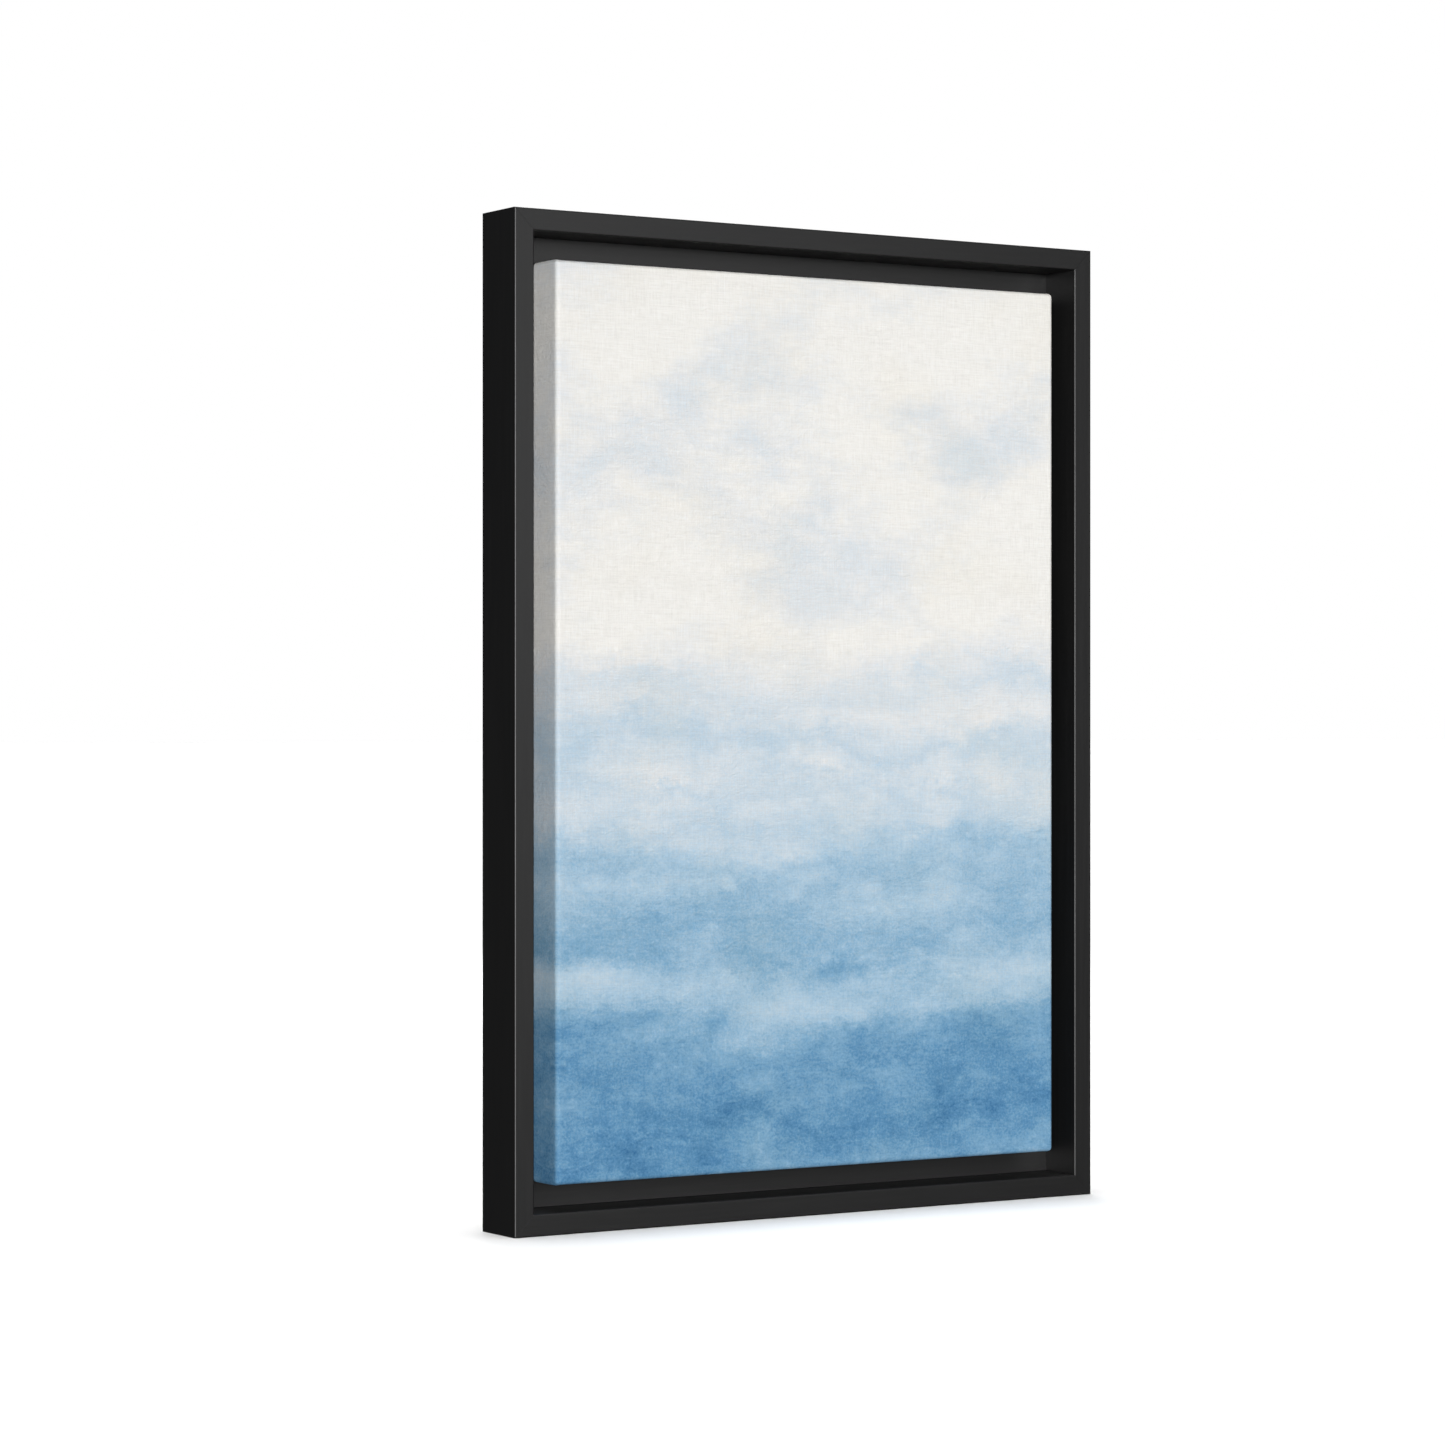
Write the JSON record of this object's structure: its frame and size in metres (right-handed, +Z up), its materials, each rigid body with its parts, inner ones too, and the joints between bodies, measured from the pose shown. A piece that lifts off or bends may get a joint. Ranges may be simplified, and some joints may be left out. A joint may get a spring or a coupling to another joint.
{
  "type": "framed stretched canvas",
  "caption": "Gallery-wrapped painted canvas on keyed stretcher bars, screwed into a black L-section floater frame with swinging D-ring hangers on the back.",
  "frame": {"origin": "middle of the width and of the depth, on the plane of the bottom rail's underside", "axes": "+Z up, +X to the viewer's right, the painted face looks along -Y and the back along +Y"},
  "size_m": [0.4724, 0.0496, 0.6756],
  "materials": {
    "canvas": "primed cotton canvas, matt, pale blue wash",
    "black_wood": "satin black painted wood",
    "pine": "planed bare pine",
    "beech": "sawn bare beech",
    "staple_steel": "galvanised wire",
    "screw_steel": "zinc plated",
    "hanger_steel": "nickel plated",
    "bumper_rubber": "translucent soft rubber"
  },
  "bodies": {
    "framed_canvas": {"canvas_cloth": "canvas", "stretcher_bar_top": "pine", "stretcher_bar_bottom": "pine", "stretcher_bar_left": "pine", "stretcher_bar_right": "pine", "stretcher_keys": "beech", "canvas_staples": "staple_steel", "frame_rail_top": "black_wood", "frame_rail_bottom": "black_wood", "frame_rail_left": "black_wood", "frame_rail_right": "black_wood", "frame_v_nails": "staple_steel", "mounting_screws": "screw_steel", "hanger_strap_left": "hanger_steel", "hanger_strap_right": "hanger_steel", "hanger_screws_left": "screw_steel", "hanger_screws_right": "screw_steel", "wall_bumper_left": "bumper_rubber", "wall_bumper_right": "bumper_rubber"},
    "ring_left": {"hanger_ring_left": "hanger_steel"},
    "ring_right": {"hanger_ring_right": "hanger_steel"}
  },
  "joints": [
    {"name": "ring_left_hinge", "type": "hinge", "parent": "framed_canvas", "child": "ring_left", "pos_m": [-0.1922, 0.02223, 0.49], "axis": [0, 0, 1], "range_deg": [-8, 170]},
    {"name": "ring_right_hinge", "type": "hinge", "parent": "framed_canvas", "child": "ring_right", "pos_m": [0.1922, 0.02223, 0.49], "axis": [0, 0, -1], "range_deg": [-8, 170]}
  ]
}
